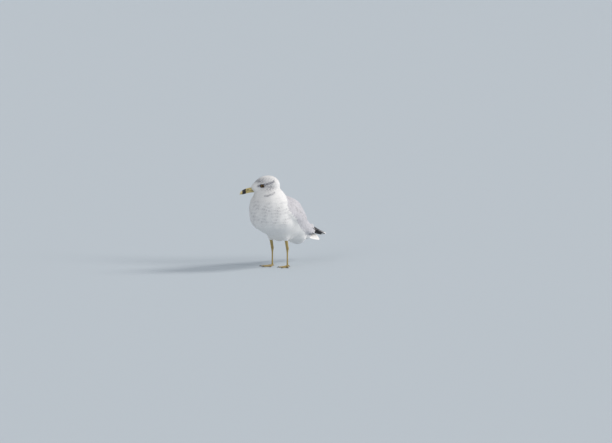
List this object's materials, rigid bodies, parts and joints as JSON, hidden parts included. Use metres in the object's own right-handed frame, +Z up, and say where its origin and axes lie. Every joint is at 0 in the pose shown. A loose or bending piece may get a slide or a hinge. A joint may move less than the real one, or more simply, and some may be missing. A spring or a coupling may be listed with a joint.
{
  "type": "ring-billed gull",
  "caption": "Life-size gull at rest: hunched white body, grey folded wings with black tips, ringed yellow bill, head turned to its right, webbed feet flat on the floor.",
  "frame": {"origin": "middle of the standing bird's box, on the floor under it", "axes": "+Z up, -Y the way the body faces, +X the bird's left side"},
  "size_m": [0.1436, 0.38, 0.2724],
  "materials": {
    "white_plumage": "soft white feathers, matt",
    "grey_plumage": "pale pearl-grey feathers, matt",
    "black_plumage": "stiff black flight feathers with white tips, faint sheen",
    "bill_horn": "dull yellow horn with a black ring near the tip, satin",
    "leg_skin": "dull yellow scaled skin, satin",
    "claw": "black horn, satin",
    "eye": "pale yellow iris round a black pupil, wet gloss"
  },
  "bodies": {
    "root": {"head": "white_plumage", "neck": "white_plumage", "trunk": "white_plumage", "bill_upper": "bill_horn", "bill_lower": "bill_horn", "mantle": "grey_plumage", "tail": "white_plumage", "eye_left": "eye", "eye_right": "eye", "wing_left": "grey_plumage", "wing_right": "grey_plumage", "primaries_left": "black_plumage", "primaries_right": "black_plumage", "thigh_left": "white_plumage", "thigh_right": "white_plumage", "leg_left": "leg_skin", "leg_right": "leg_skin", "foot_left": "leg_skin", "foot_right": "leg_skin", "claw_left_inner": "claw", "claw_left_middle": "claw", "claw_left_outer": "claw", "claw_left_hind": "claw", "claw_right_inner": "claw", "claw_right_middle": "claw", "claw_right_outer": "claw", "claw_right_hind": "claw"}
  },
  "joints": []
}
